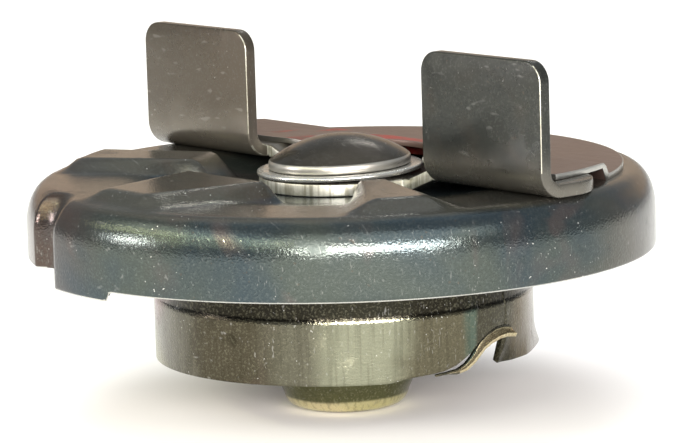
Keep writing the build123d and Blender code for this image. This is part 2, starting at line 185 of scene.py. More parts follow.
class Recipe:
    # a material that is put together node by node; places are in metres on the piece
    def __init__(self, name):
        self.material = bpy.data.materials.new(name)
        self.material.use_nodes = True
        self.tree = self.material.node_tree
        self.shader = self.tree.nodes["Principled BSDF"]
        self.place = self.node("ShaderNodeTexCoord", output="Object")

    def node(self, kind, settings=None, inputs=None, output=0):
        made = self.tree.nodes.new(kind)
        for name, value in (settings or {}).items():
            setattr(made, name, value)
        for name, value in (inputs or {}).items():
            self.join(made.inputs[name], value)
        return Wire(self, made.outputs[output])

    def join(self, socket, value):
        if isinstance(value, Wire):
            self.tree.links.new(value.socket, socket)
        else:
            socket.default_value = value

    def noise(
            self, scale, detail=3.0, rough=0.55, stretch=(1, 1, 1), distort=0.0,
            shift=(0, 0, 0)):
        spot = self.node("ShaderNodeMapping", inputs={
            "Vector": self.place, "Scale": stretch, "Location": shift})
        return self.node("ShaderNodeTexNoise", inputs={
            "Vector": spot, "Scale": scale, "Detail": detail, "Roughness": rough,
            "Distortion": distort})

    def axis(self, letter):
        # one coordinate of the place, in millimetres
        return self.node("ShaderNodeSeparateXYZ", inputs={0: self.place}, output=letter) * 1000.0

    def radius(self):
        # distance from the cap's axis, in millimetres
        flat = self.node("ShaderNodeVectorMath", {"operation": "MULTIPLY"}, {
            0: self.place, 1: (1000, 1000, 0)})
        return self.node(
            "ShaderNodeVectorMath", {"operation": "LENGTH"}, {0: flat}, output="Value")

    def step(self, value, low, high):
        # 0 below low, 1 above high
        return self.node("ShaderNodeMapRange", {"interpolation_type": "SMOOTHSTEP"}, {
            "Value": value, "From Min": low, "From Max": high})

    def band(self, value, low, high, soft):
        # 1 between low and high
        risen = self.step(value, low - soft, low + soft)
        return risen * (1 - self.step(value, high - soft, high + soft))

    def bump(self, height):
        return self.node("ShaderNodeBump", inputs={
            "Strength": 1.0, "Distance": 1.0, "Height": height})

    def blend(self, factor, first, second):
        return self.node("ShaderNodeMix", {"data_type": "RGBA"}, {
            "Factor": factor, 6: first, 7: second}, output=2)

    def set(self, **inputs):
        for name, value in inputs.items():
            self.join(self.shader.inputs[name.replace("_", " ")], value)


# What all plated pieces share: the marks' colours, their noise scales, the noise values where
# each starts and is full, and their heights in metres
marks = {
    "speck": (0.92, 0.92, 0.88, 1), "pit": (0.10, 0.08, 0.06, 1), "scratch": (0.75, 0.75, 0.72, 1),
    "grainScale": 900, "speckScale": 2300, "pitScale": 1300, "scratchScale": 300,
    "glitterScale": 2900, "lineScale": 1300, "patchScale": 1.7, "stainScale": 5, "lumpScale": 6,
    "cloudRange": (0.38, 0.62), "patchRange": (0.52, 0.68), "stainRange": (0.56, 0.74),
    "speckRange": (0.735, 0.76), "speckPatches": (0.44, 0.60), "pitRange": (0.72, 0.76),
    "scratchRange": (0.66, 0.74), "lineRange": (0.48, 0.62), "lumpShare": 0.06,
    "grainHeight": 0.0000035, "scratchDepth": 0.000004, "pitDepth": 0.00001,
    "grainRough": 0.05, "stainRough": 0.15,
}


def platedMetal(name, look):
    # plated sheet: cloudy tints, fine specks, stains and scratches over a slightly wavy surface
    metal = Recipe(name)
    clouds = metal.noise(look["cloudScale"], 3.0, distort=0.6)
    patches = metal.noise(
        look["cloudScale"] * marks["patchScale"], 2.0, distort=1.2, shift=(0.3, 0.1, 0.2))
    grain = metal.noise(marks["grainScale"], 3.0)
    first, second, third = look["tints"]
    colour = metal.blend(metal.step(clouds, *marks["cloudRange"]), first, second)
    patched = metal.step(patches, *marks["patchRange"]) * look["patchShare"]
    colour = metal.blend(patched, colour, third)
    stains = metal.step(
        metal.noise(look["cloudScale"] * marks["stainScale"], 4.0, shift=(0.7, 0.2, 0.4)),
        *marks["stainRange"])
    colour = metal.blend(stains * look["stainShare"], colour, look["stain"])
    for direction, low, high, tint, share in look.get("tintAndLightWashes", ()):
        # a tint that comes in along a direction, in millimetres; the looks use it both for real
        # tints and for painted light and shade
        reach = metal.node("ShaderNodeVectorMath", {"operation": "DOT_PRODUCT"}, {
            0: metal.place, 1: [1000 * part for part in direction]}, output="Value")
        uneven = reach + (clouds - 0.5) * (2.0 * (high - low))
        colour = metal.blend(metal.step(uneven, low, high) * share, colour, tint)
    specks = metal.step(metal.noise(marks["speckScale"], 1.0), *marks["speckRange"])
    specks = specks * look["speckShare"] * metal.step(patches, *marks["speckPatches"])
    colour = metal.blend(specks, colour, marks["speck"])
    pits = metal.noise(marks["pitScale"], 1.0, shift=(0.5, 0.5, 0.1))
    pits = metal.step(pits, *marks["pitRange"]) * look["pitShare"]
    colour = metal.blend(pits, colour, marks["pit"])
    scratches = metal.step(
        metal.noise(marks["scratchScale"], 1.5, stretch=(1, 14, 3), shift=(0.1, 0.3, 0.2)),
        *marks["scratchRange"])
    colour = metal.blend(scratches * look["scratchShare"], colour, marks["scratch"])
    # glitter: the noise lightens fine specks of the colour toward the glitter tint, partly the
    # plating's grain and partly painted sparkle; it also bumps the surface below
    glitter = metal.noise(marks["glitterScale"], 2.0, shift=(0.9, 0.4, 0.6))
    colour = metal.blend(
        metal.step(glitter, *look["glitterRange"]) * look["glitterShare"], colour, look["glitter"])
    lines = metal.noise(
        marks["lineScale"], 2.0, stretch=(1, 1, 0.05), shift=(0.2, 0.8, 0.1))
    lined = metal.step(lines, *marks["lineRange"]) * look["lineShare"]
    colour = metal.blend(lined, colour, look["stain"])
    rough = look["rough"] + look["roughSpread"] * clouds
    rough = rough + marks["grainRough"] * grain + marks["stainRough"] * stains
    if "rim" in look:
        # paler and duller beyond a radius, in millimetres; the paleness is partly painted
        # highlight where a rim catches the front light
        low, high, tint, dull = look["rim"]
        outside = metal.step(metal.radius(), low, high)
        colour = metal.blend(outside, colour, tint)
        rough = rough + outside * dull
    waves = metal.noise(look["waveScale"], 1.0, shift=(0.2, 0.6, 0.3))
    lumps = metal.noise(look["waveScale"] * marks["lumpScale"], 1.0)
    height = waves * look["waveHeight"] + lumps * (marks["lumpShare"] * look["waveHeight"])
    height = height + glitter * look["glitterHeight"] + grain * marks["grainHeight"]
    height = height - scratches * marks["scratchDepth"] - pits * marks["pitDepth"]
    metal.set(
        Base_Color=colour, Metallic=look["metallic"], Roughness=rough, Normal=metal.bump(height))
    metal.material.diffuse_color = first
    return metal.material


coverLook = {
    "tints": ((0.038, 0.055, 0.066, 1), (0.062, 0.075, 0.066, 1), (0.100, 0.084, 0.080, 1)),
    "cloudScale": 38, "patchShare": 0.75, "stainShare": 0.4, "stain": (0.040, 0.053, 0.051, 1),
    "speckShare": 0.7, "pitShare": 0.4, "scratchShare": 0.12,
    "glitter": (0.18, 0.205, 0.195, 1), "glitterRange": (0.46, 0.74), "glitterShare": 0.22,
    "glitterHeight": 0.000042, "lineShare": 0.03, "metallic": 0.80,
    "rough": 0.08, "roughSpread": 0.12, "waveScale": 24, "waveHeight": 0.0006,
    "tintAndLightWashes": (
        # painted reflection: this tint turns the top faces tan, standing in for the warm light
        # they mirror from behind
        ((0, 0, 1), 35.2, 35.9, (0.115, 0.105, 0.08, 1), 0.6),
        # painted reflection: these two warm the skirt's left and right ends as seen from the
        # camera, standing in for warm light from those sides
        ((-0.643, -0.766, 0), 35.0, 45.0, (0.080, 0.054, 0.043, 1), 0.85),
        ((0.645, 0.764, 0), 34.0, 47.0, (0.090, 0.078, 0.066, 1), 0.7)),
}
handleLook = {
    "tints": ((0.032, 0.035, 0.032, 1), (0.047, 0.049, 0.043, 1), (0.046, 0.042, 0.034, 1)),
    "cloudScale": 42, "patchShare": 0.6, "stainShare": 0.4, "stain": (0.034, 0.036, 0.031, 1),
    "speckShare": 0.3, "pitShare": 0.4, "scratchShare": 0.08,
    "glitter": (0.12, 0.126, 0.112, 1), "glitterRange": (0.48, 0.74), "glitterShare": 0.3,
    "glitterHeight": 0.000005, "lineShare": 0.02, "metallic": 0.72,
    "rough": 0.18, "roughSpread": 0.14, "waveScale": 20, "waveHeight": 0.0004,
    "tintAndLightWashes": (
        ((-1, 0, 0), -4.0, 4.0, (0.084, 0.068, 0.050, 1), 0.8),
        # painted reflection: the handle's low, flat parts, hub and arms, are lightened to tan
        # where they face up into the light
        ((0, 0, -1), -45.0, -38.5, (0.20, 0.185, 0.155, 1), 0.5)),
}
shearedLook = {
    "tints": ((0.42, 0.43, 0.38, 1), (0.58, 0.58, 0.52, 1), (0.36, 0.36, 0.28, 1)),
    "cloudScale": 120, "patchShare": 0.6, "stainShare": 0.4, "stain": (0.15, 0.14, 0.09, 1),
    "speckShare": 0.5, "pitShare": 0.5, "scratchShare": 0.2,
    "glitter": (0.60, 0.60, 0.52, 1), "glitterRange": (0.50, 0.70), "glitterShare": 0.5,
    "glitterHeight": 0.000014, "lineShare": 0.6, "metallic": 0.8,
    "rough": 0.30, "roughSpread": 0.16, "waveScale": 60, "waveHeight": 0.0001,
}
cupLook = {
    "tints": ((0.042, 0.037, 0.023, 1), (0.062, 0.054, 0.035, 1), (0.074, 0.052, 0.040, 1)),
    "cloudScale": 60, "patchShare": 0.6, "stainShare": 0.6, "stain": (0.022, 0.019, 0.010, 1),
    "speckShare": 0.6, "pitShare": 0.12, "scratchShare": 0.2,
    "glitter": (0.30, 0.29, 0.20, 1), "glitterRange": (0.50, 0.66), "glitterShare": 0.18,
    "glitterHeight": 0.000050, "lineShare": 0.22, "metallic": 0.9,
    "rough": 0.08, "roughSpread": 0.12, "waveScale": 60, "waveHeight": 0.0005,
    "tintAndLightWashes": (
        # painted reflections: the vertical light and dark bands laid across the camera's view,
        # with the teal streak, stand in for the surroundings mirrored in the round wall
        ((-0.645, -0.764, 0), 21.0, 24.0, (0.115, 0.11, 0.085, 1), 0.8),
        ((0.645, 0.764, 0), -14.0, -8.0, (0.115, 0.112, 0.082, 1), 0.85),
        ((0.645, 0.764, 0), -5.5, 1.0, (0.235, 0.245, 0.175, 1), 0.85),
        ((0.645, 0.764, 0), 7.0, 13.0, (0.078, 0.068, 0.042, 1), 0.9),
        ((0.645, 0.764, 0), 17.2, 18.6, (0.060, 0.130, 0.115, 1), 0.45),
        ((0.645, 0.764, 0), 19.2, 20.0, (0.048, 0.041, 0.028, 1), 0.88),
        ((0.645, 0.764, 0), 24.6, 26.8, (0.100, 0.076, 0.040, 1), 0.9),
        ((-0.645, -0.764, -0.5), 20.0, 24.0, (0.22, 0.21, 0.05, 1), 0.6),
        # painted shade: the wall above the neck step is made near-black, standing in for the shade
        # and dark reflection under the cover's skirt
        ((0, 0, 1), 17.9, 18.2, (0.010, 0.009, 0.006, 1), 0.95),
        ((-0.645, -0.764, 0.5), 34.5, 38.0, (0.15, 0.045, 0.05, 1), 0.9),
        ((0.645, 0.764, 0.5), 35.0, 38.0, (0.20, 0.168, 0.14, 1), 0.8)),
}
# painted highlight: the flared cam lips are coloured far lighter and warmer than the cup, standing
# in for the light the lips catch
lipSheenLook = {
    "tints": ((0.50, 0.43, 0.25, 1), (0.62, 0.54, 0.34, 1), (0.44, 0.33, 0.20, 1)),
    "cloudScale": 160, "patchShare": 0.6, "stainShare": 0.4, "stain": (0.14, 0.11, 0.05, 1),
    "speckShare": 0.6, "pitShare": 0.4, "scratchShare": 0.3,
    "glitter": (0.80, 0.74, 0.52, 1), "glitterRange": (0.50, 0.72), "glitterShare": 0.4,
    "glitterHeight": 0.000012, "lineShare": 0.2, "metallic": 0.9,
    "rough": 0.16, "roughSpread": 0.12, "waveScale": 80, "waveHeight": 0.0001,
}
housingLook = {
    "tints": ((0.53, 0.50, 0.27, 1), (0.62, 0.56, 0.34, 1), (0.46, 0.60, 0.29, 1)),
    "cloudScale": 50, "patchShare": 0.6, "stainShare": 0.4, "stain": (0.06, 0.06, 0.025, 1),
    "speckShare": 0.6, "pitShare": 0.4, "scratchShare": 0.2,
    "glitter": (0.55, 0.55, 0.38, 1), "glitterRange": (0.50, 0.72), "glitterShare": 0.25,
    "glitterHeight": 0.00001, "lineShare": 0.3, "metallic": 0.75,
    "rough": 0.14, "roughSpread": 0.12, "waveScale": 40, "waveHeight": 0.0002,
    # painted reflection: the bright golden tints are left only on the foot, below about 2 mm,
    # standing in for the lit floor it mirrors; above that the tint gives the darker green band
    "tintAndLightWashes": (((0, 0, 1), 1.6, 2.1, (0.058, 0.066, 0.023, 1), 0.9),),
}
rivetLook = {
    "tints": ((0.056, 0.050, 0.038, 1), (0.074, 0.066, 0.053, 1), (0.06, 0.059, 0.048, 1)),
    "cloudScale": 70, "patchShare": 0.5, "stainShare": 0.3, "stain": (0.05, 0.045, 0.035, 1),
    "speckShare": 0.4, "pitShare": 0.5, "scratchShare": 0.1,
    "glitter": (0.15, 0.14, 0.12, 1), "glitterRange": (0.50, 0.74), "glitterShare": 0.4,
    "glitterHeight": 0.000006, "lineShare": 0.0, "metallic": 0.85,
    # the rim tint is partly painted highlight: the head's rim is made pale where it catches the
    # front light
    "rim": (10.55, 10.75, (0.44, 0.43, 0.39, 1), 0.12),
    "rough": 0.14, "roughSpread": 0.12, "waveScale": 90, "waveHeight": 0.00008,
}
brightLook = {
    "tints": ((0.50, 0.51, 0.49, 1), (0.60, 0.60, 0.56, 1), (0.44, 0.44, 0.40, 1)),
    "cloudScale": 60, "patchShare": 0.5, "stainShare": 0.3, "stain": (0.22, 0.21, 0.18, 1),
    "speckShare": 0.3, "pitShare": 0.3, "scratchShare": 0.3,
    "glitter": (0.75, 0.75, 0.72, 1), "glitterRange": (0.50, 0.74), "glitterShare": 0.3,
    "glitterHeight": 0.000008, "lineShare": 0.0, "metallic": 0.85,
    "rough": 0.16, "roughSpread": 0.14, "waveScale": 90, "waveHeight": 0.0001,
}
springLook = {
    "tints": ((0.30, 0.31, 0.32, 1), (0.36, 0.37, 0.38, 1), (0.28, 0.25, 0.21, 1)),
    "cloudScale": 90, "patchShare": 0.4, "stainShare": 0.4, "stain": (0.12, 0.11, 0.10, 1),
    "speckShare": 0.2, "pitShare": 0.3, "scratchShare": 0.3,
    "glitter": (0.45, 0.46, 0.47, 1), "glitterRange": (0.50, 0.74), "glitterShare": 0.2,
    "glitterHeight": 0.000004, "lineShare": 0.0, "metallic": 1.0,
    "rough": 0.22, "roughSpread": 0.14, "waveScale": 80, "waveHeight": 0.00005,
}
brassLook = {
    "tints": ((0.70, 0.52, 0.24, 1), (0.76, 0.58, 0.30, 1), (0.60, 0.42, 0.20, 1)),
    "cloudScale": 90, "patchShare": 0.4, "stainShare": 0.4, "stain": (0.34, 0.24, 0.10, 1),
    "speckShare": 0.2, "pitShare": 0.2, "scratchShare": 0.3,
    "glitter": (0.82, 0.66, 0.38, 1), "glitterRange": (0.50, 0.74), "glitterShare": 0.2,
    "glitterHeight": 0.000004, "lineShare": 0.0, "metallic": 1.0,
    "rough": 0.18, "roughSpread": 0.16, "waveScale": 80, "waveHeight": 0.00004,
}
rubberLook = {
    "dark": (0.018, 0.018, 0.019, 1), "dusty": (0.06, 0.058, 0.055, 1),
    "dustScale": 120, "dustRange": (0.45, 0.75), "grainScale": 1600, "grainHeight": 0.00001,
    "rough": 0.55, "roughSpread": 0.25,
}
feltLook = {
    "dark": (0.42, 0.37, 0.29, 1), "pale": (0.66, 0.61, 0.52, 1), "rough": 0.92,
    "fibreScale": 2600, "fibreRange": (0.3, 0.7), "fibreHeight": 0.00012,
    "clumpScale": 500, "clumpHeight": 0.0002,
}


def rubberMaterial():
    rubber = Recipe("gasketRubber")
    look = rubberLook
    dust = rubber.step(rubber.noise(look["dustScale"], 4.0), *look["dustRange"])
    grain = rubber.noise(look["grainScale"], 2.0)
    rubber.set(
        Base_Color=rubber.blend(dust, look["dark"], look["dusty"]),
        Roughness=look["rough"] + look["roughSpread"] * dust,
        Normal=rubber.bump(grain * look["grainHeight"]))
    return rubber.material


def feltMaterial():
    felt = Recipe("filterFelt")
    look = feltLook
    fibres = felt.noise(look["fibreScale"], 4.0, rough=0.7, distort=2.0)
    clumps = felt.noise(look["clumpScale"], 3.0)
    height = fibres * look["fibreHeight"] + clumps * look["clumpHeight"]
    felt.set(
        Base_Color=felt.blend(
            felt.step(fibres, *look["fibreRange"]), look["dark"], look["pale"]),
        Roughness=look["rough"], Normal=felt.bump(height))
    return felt.material


labelLook = {
    "bare": (0.118, 0.076, 0.062, 1), "worn": (0.155, 0.108, 0.090, 1),
    "dark": (0.10, 0.02, 0.016, 1), "red": (0.34, 0.03, 0.025, 1), "cut": (0.45, 0.45, 0.42, 1),
    "ringInner": 15.4, "ringOuter": 19.5,  # red ring round the cut-out for the hub
    "barInner": 24.5, "barOuter": 27.5, "barPace": 0.9,  # short red bars further out
    "barFront": 8.0, "barBack": 40.0, "printSoft": 0.25, "barSoft": 0.3,
    "rim": 43.0, "front": 4.78, "cutSoft": 0.1,
    "wearScale": 210, "wearRange": (0.30, 0.72), "redRange": (0.35, 0.6), "wearHeight": 0.00006,
    "scuffScale": 420, "scuffRange": (0.52, 0.70), "scuffHeight": 0.00002,
}


def labelMaterial():
    # thin printed plate: worn reddish print with a red ring and bars, bare metal on its cut edges
    plate = Recipe("labelPrint")
    look = labelLook
    wear = plate.noise(look["wearScale"], 5.0, distort=0.4)
    scuffs = plate.noise(look["scuffScale"], 3.0, stretch=(1, 5, 1))
    radius = plate.radius()
    across = plate.axis("X")
    depth = plate.axis("Y")
    colour = plate.blend(plate.step(wear, *look["wearRange"]), look["bare"], look["worn"])
    ring = plate.band(radius, look["ringInner"], look["ringOuter"], look["printSoft"])
    bars = plate.band(radius, look["barInner"], look["barOuter"], look["printSoft"])
    wave = plate.node("ShaderNodeMath", {"operation": "SINE"}, {0: across * look["barPace"]})
    gaps = plate.step(wave, -0.2, 0.2)
    behind = plate.band(depth, look["barFront"], look["barBack"], look["barSoft"])
    printed = ring + bars * gaps * behind
    kept = 1 - plate.step(scuffs, *look["scuffRange"])
    red = plate.blend(plate.step(wear, *look["redRange"]), look["dark"], look["red"])
    colour = plate.blend(printed * kept, colour, red)
    edge = plate.step(radius, look["rim"], look["rim"] + look["cutSoft"])
    front = 1 - plate.step(depth, look["front"] - look["cutSoft"], look["front"])
    bare = edge + front - edge * front
    colour = plate.blend(bare, colour, look["cut"])
    height = wear * look["wearHeight"] + scuffs * look["scuffHeight"]
    plate.set(
        Base_Color=colour, Metallic=0.55 + 0.45 * bare, Normal=plate.bump(height),
        Roughness=0.22 + 0.22 * wear + 0.12 * scuffs)
    return plate.material


finishes = {
    "coverZinc": platedMetal("coverZinc", coverLook),
    "handleZinc": platedMetal("handleZinc", handleLook),
    "shearedEdge": platedMetal("shearedEdge", shearedLook),
    "cupZinc": platedMetal("cupZinc", cupLook),
    "lipPaintedSheen": platedMetal("lipPaintedSheen", lipSheenLook),
    "housingZinc": platedMetal("housingZinc", housingLook),
    "rivetSteel": platedMetal("rivetSteel", rivetLook),
    "brightZinc": platedMetal("brightZinc", brightLook),
    "springSteel": platedMetal("springSteel", springLook),
    "valveBrass": platedMetal("valveBrass", brassLook),
    "gasketRubber": rubberMaterial(),
    "filterFelt": feltMaterial(),
    "labelPrint": labelMaterial(),
}
dressing = {
    "lower_washer": "brightZinc", "seal_plate": "brightZinc",
    "gasket_ring": "gasketRubber", "housing_rivets": "rivetSteel", "filter_pad": "filterFelt",
    "filter_ring": "valveBrass", "valve_seat": "valveBrass", "pressure_seal": "gasketRubber",
    "pressure_plate": "valveBrass", "vacuum_valve": "valveBrass", "vacuum_clip": "springSteel",
    "spring_retainer": "valveBrass",
}
for node, finish in dressing.items():
    for place in nodes[node].material_slots:
        place.material = finishes[finish]
print("materials ready")

# Modelling helpers


def ramp(value, low, high):
    # 0 below low, 1 above high, smooth between
    t = min(max((value - low) / (high - low), 0.0), 1.0)
    return t * t * (3 - 2 * t)


def softMin(first, second, soft):
    # the lower of two values, rounded where they meet
    near = max(soft - abs(first - second), 0.0) / soft
    return min(first, second) - near * near * soft / 4


def turnedPiece(name, profile, steps):
    # spins a line of (radius, height) points in millimetres round the cap's axis
    bpy.ops.object.select_all(action="DESELECT")
    bpy.ops.mesh.primitive_plane_add(size=0.001, location=(0, 0, 0))
    piece = bpy.context.object
    piece.name = name
    bpy.ops.object.mode_set(mode="EDIT")
    bpy.ops.mesh.select_mode(type="VERT")
    bpy.ops.mesh.select_all(action="SELECT")
    bpy.ops.mesh.merge(type="CENTER")
    at = (0.0, 0.0)
    for index, (radius, height) in enumerate(profile):
        move = ((radius - at[0]) / 1000, 0, (height - at[1]) / 1000)
        if index:
            bpy.ops.mesh.extrude_region_move(TRANSFORM_OT_translate={"value": move})
        else:
            bpy.ops.transform.translate(value=move)
        at = (radius, height)
    bpy.ops.mesh.select_all(action="SELECT")
    bpy.ops.mesh.spin(
        steps=steps, dupli=False, angle=2 * math.pi, center=(0, 0, 0), axis=(0, 0, 1))
    bpy.ops.mesh.select_all(action="SELECT")
    bpy.ops.mesh.remove_doubles(threshold=0.000002)
    bpy.ops.mesh.normals_make_consistent(inside=False)
    bpy.ops.object.mode_set(mode="OBJECT")
    return piece


def faceUp(piece):
    # an open sheet is turned over if it faces down
    piece.data.update()
    if sum(face.normal.z * face.area for face in piece.data.polygons) < 0:
        bpy.ops.object.mode_set(mode="EDIT")
        bpy.ops.mesh.select_all(action="SELECT")
        bpy.ops.mesh.flip_normals()
        bpy.ops.object.mode_set(mode="OBJECT")


def reshape(piece, rule):
    # moves every point by a rule in millimetres
    for point in piece.data.vertices:
        point.co = Vector(rule(*(1000 * c for c in point.co))) / 1000
    piece.data.update()


def pickOnly(piece, *others):
    # the piece is the active one, selected alone or with others
    bpy.ops.object.select_all(action="DESELECT")
    for other in others:
        other.select_set(True)
    piece.select_set(True)
    bpy.context.view_layer.objects.active = piece


def addModifier(piece, kind, **settings):
    pickOnly(piece)
    modifier = piece.modifiers.new(kind.lower(), kind)
    for name, value in settings.items():
        setattr(modifier, name, value)
    bpy.ops.object.modifier_apply(modifier=modifier.name)


def roundEdges(piece, width, steps=2, angle=60):
    # rounds the edges that are sharper than an angle, by a width in metres
    addModifier(
        piece, "BEVEL", width=width, segments=steps, limit_method="ANGLE",
        angle_limit=math.radians(angle))


def joined(first, others):
    pickOnly(first, *others)
    bpy.ops.object.join()
    return first


def along(table, value):
    # straight-line reading of a table of (place, value)
    if value <= table[0][0]:
        return table[0][1]
    for (a, first), (b, second) in zip(table, table[1:]):
        if value <= b:
            return first + (second - first) * (value - a) / (b - a)
    return table[-1][1]


def turnFrom(angle, start):
    # degrees from a start, between -180 and 180
    return (angle - start + 180) % 360 - 180


def finishPiece(
        piece, node, finish, smooth=40, body="cap_body", cut=None, cutFinish="shearedEdge"):
    # shading, materials, the body that the piece rides on and the node that it stands for
    pickOnly(piece)
    bpy.ops.object.shade_smooth_by_angle(angle=math.radians(smooth))
    piece.data.materials.clear()
    piece.data.materials.append(finishes[finish])
    if cut:
        # faces that a rule picks out show the cut metal
        piece.data.materials.append(finishes[cutFinish])
        for face in piece.data.polygons:
            face.material_index = int(cut(face.center * 1000, face.normal))
    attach(piece, body)
    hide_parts(node)
    print("made", piece.name, len(piece.data.polygons), "faces")


def copiedNode(node, name):
    # the CAD node's own shape as a clean mesh, ready for finishing
    piece = nodes[node].copy()
    piece.data = nodes[node].data.copy()
    piece.name = name
    piece.parent = None
    bpy.context.scene.collection.objects.link(piece)
    piece.matrix_world = Matrix.Identity(4)
    pickOnly(piece)
    if piece.data.has_custom_normals:
        bpy.ops.mesh.customdata_custom_splitnormals_clear()
    bpy.ops.object.mode_set(mode="EDIT")
    bpy.ops.mesh.select_all(action="SELECT")
    bpy.ops.mesh.remove_doubles(threshold=0.000001)
    bpy.ops.mesh.dissolve_limited(angle_limit=math.radians(1.0))
    bpy.ops.object.mode_set(mode="OBJECT")
    return piece


# Outer cover: heights are over the skirt's bottom edge
cover = {
    "radius": 48.0, "skirtHeight": 5.8, "flatRadius": 44.2, "flatHeight": 11.8,
    "dishRadius": 33.0, "floorRadius": 18.5, "floorHeight": 9.6, "holeRadius": 4.2,
    "ribHeight": 13.7, "thickness": 1.0, "steps": 480,
    "ribs": ((-150.0, 4.0, 4.0), (-90.0, 8.6, 4.0), (-28.0, 1.6, 3.0)),
    "ribFlanks": (2.0, 6.6), "ribInner": (18.2, 22.6), "ribOuter": (41.0, 44.2),
    "flutes": (-108.0, 72.0), "fluteRadius": 4.6, "fluteDepth": 2.6,
    "fluteInner": 36.0, "fluteSpan": 12.0, "fluteFlank": 3.0, "soft": 0.9,
    "scoopReach": 50.5, "scoopHeight": 12.5, "scoopRadius": 6.2, "scoopBottom": 3.0,
    "lobeRise": (0.4, 2.0), "lobeFall": (21.5, 22.8), "lobeDrop": 1.45,  # degrees from the flute
    "liftRise": (-34.0, -8.0), "liftFall": (-3.0, 0.5), "liftHeight": 0.6,
    "cutFacing": -0.4, "cutReach": 46.8, "cutHeight": 1.2,
}


def coverProfile():
    c = cover
    points = [(c["holeRadius"], c["floorHeight"])]
    points += [(r, c["floorHeight"]) for r in (6, 8, 10, 12, 14, 15.5, 16.5, 17.3)]
    points += [(18.1, c["floorHeight"] + 0.03), (18.9, c["floorHeight"] + 0.11)]
    slope = (c["flatHeight"] - c["floorHeight"]) / (c["dishRadius"] - c["floorRadius"])
    points += [(r, c["floorHeight"] + slope * (r - c["floorRadius"])) for r in range(20, 32)]
    points += [(32.0, c["flatHeight"] - 0.17), (33.0, c["flatHeight"] - 0.06)]
    points += [(r, c["flatHeight"]) for r in range(34, 44)]
    for part in range(10):
        turn = math.radians(10 * part)
        points.append((
            c["flatRadius"] + (c["radius"] - c["flatRadius"]) * math.sin(turn),
            c["skirtHeight"] + (c["flatHeight"] - c["skirtHeight"]) * math.cos(turn)))
    points += [(c["radius"], h) for h in (4.6, 3.4, 2.2, 1.2, 0.5)]
    points += [(c["radius"] - 0.04, 0.22), (c["radius"] - 0.16, 0.06), (c["radius"] - 0.34, 0.0)]
    return [(r, h + edgeLevel) for r, h in points]


def ribShare(x, y):
    # how far a place on the cover is pressed up into a rib, 0 to 1
    share = 0.0
    inner, outer = cover["ribInner"], cover["ribOuter"]
    for angle, hubHalf, rimHalf in cover["ribs"]:
        a = math.radians(angle)
        outwards = x * math.cos(a) + y * math.sin(a)
        aside = abs(y * math.cos(a) - x * math.sin(a))
        way = min(max((outwards - inner[1]) / (outer[0] - inner[1]), 0.0), 1.0)
        half = hubHalf + (rimHalf - hubHalf) * way
        flank = cover["ribFlanks"][0] + (cover["ribFlanks"][1] - cover["ribFlanks"][0]) * way
        ends = ramp(outwards, *inner) * (1 - ramp(outwards, *outer))
        share = max(share, ends * (1 - ramp(aside, half, half + flank)))
    return share


def pressCover(x, y, z):
    # ribs, then the flutes with the edge beside them, then the scoops above the flutes
    c = cover
    h = z - edgeLevel
    r = math.hypot(x, y)
    angle = math.degrees(math.atan2(y, x))
    if r < c["radius"] - 1 and h > c["skirtHeight"]:
        h += (c["ribHeight"] - h) * ribShare(x, y)
    for flute in c["flutes"]:
        turn = turnFrom(angle, flute)
        if h < c["skirtHeight"]:
            # the edge hangs down as a lobe on one side of the flute and is drawn up on the other
            lobe = ramp(turn, *c["lobeRise"]) * (1 - ramp(turn, *c["lobeFall"]))
            h -= c["lobeDrop"] * lobe * (1 - h / c["skirtHeight"])
            lift = c["liftHeight"] * ramp(turn, *c["liftRise"]) * (1 - ramp(turn, *c["liftFall"]))
            h += lift * (1 - h / c["skirtHeight"])
        aside = abs(r * math.sin(math.radians(turn)))
        start = c["fluteInner"]
        if abs(turn) > c["fluteSpan"] or r < start:
            continue
        hollow = max(c["fluteRadius"] ** 2 - aside ** 2, 0.0) ** 0.5
        reach = c["radius"] - c["fluteDepth"] + c["fluteRadius"] - hollow
        if aside > c["fluteRadius"]:
            reach += c["fluteFlank"] * (aside - c["fluteRadius"])
        reach = softMin(c["radius"], reach, c["soft"])
        pulled = start + (r - start) * (reach - start) / (c["radius"] - start)
        x, y, r = x * pulled / r, y * pulled / r, pulled
    for flute in c["flutes"]:
        a = math.radians(flute)
        reach = c["scoopReach"]
        centre = Vector((reach * math.cos(a), reach * math.sin(a), c["scoopHeight"]))
        away = Vector((x, y, h)) - centre
        pushed = -softMin(-away.length, -c["scoopRadius"], c["soft"])
        if away.length < c["scoopRadius"] + c["soft"] and h > c["scoopBottom"]:
            x, y, h = centre + away * (pushed / away.length)
    return x, y, h + edgeLevel


def makeCover():
    piece = turnedPiece("coverPressing", coverProfile(), cover["steps"])
    faceUp(piece)
    reshape(piece, pressCover)
    addModifier(
        piece, "SOLIDIFY", thickness=cover["thickness"] / 1000, offset=-1.0,
        use_even_offset=False)

    def cutEdge(place, facing):
        low = place.z < edgeLevel + cover["cutHeight"]
        return low and facing.z < cover["cutFacing"] and place.xy.length > cover["cutReach"]

    finishPiece(
        piece, "outer_cover", "coverZinc", smooth=50, cut=cutEdge,
        cutFinish="brightZinc")


makeCover()

# Handle plate: the stamping's own shape with sheared edges rounded over
handle = {
    "rounding": 0.00042, "roundingSteps": 3, "roundingAngle": 38,
    "burrAcross": (0.4, 0.92), "burrFacing": -0.3, "burrBottom": 41.0,  # along the ears' edges
    "outlineFacing": 0.5, "outlineTop": 38.3, "outlineReach": 21.0,
}


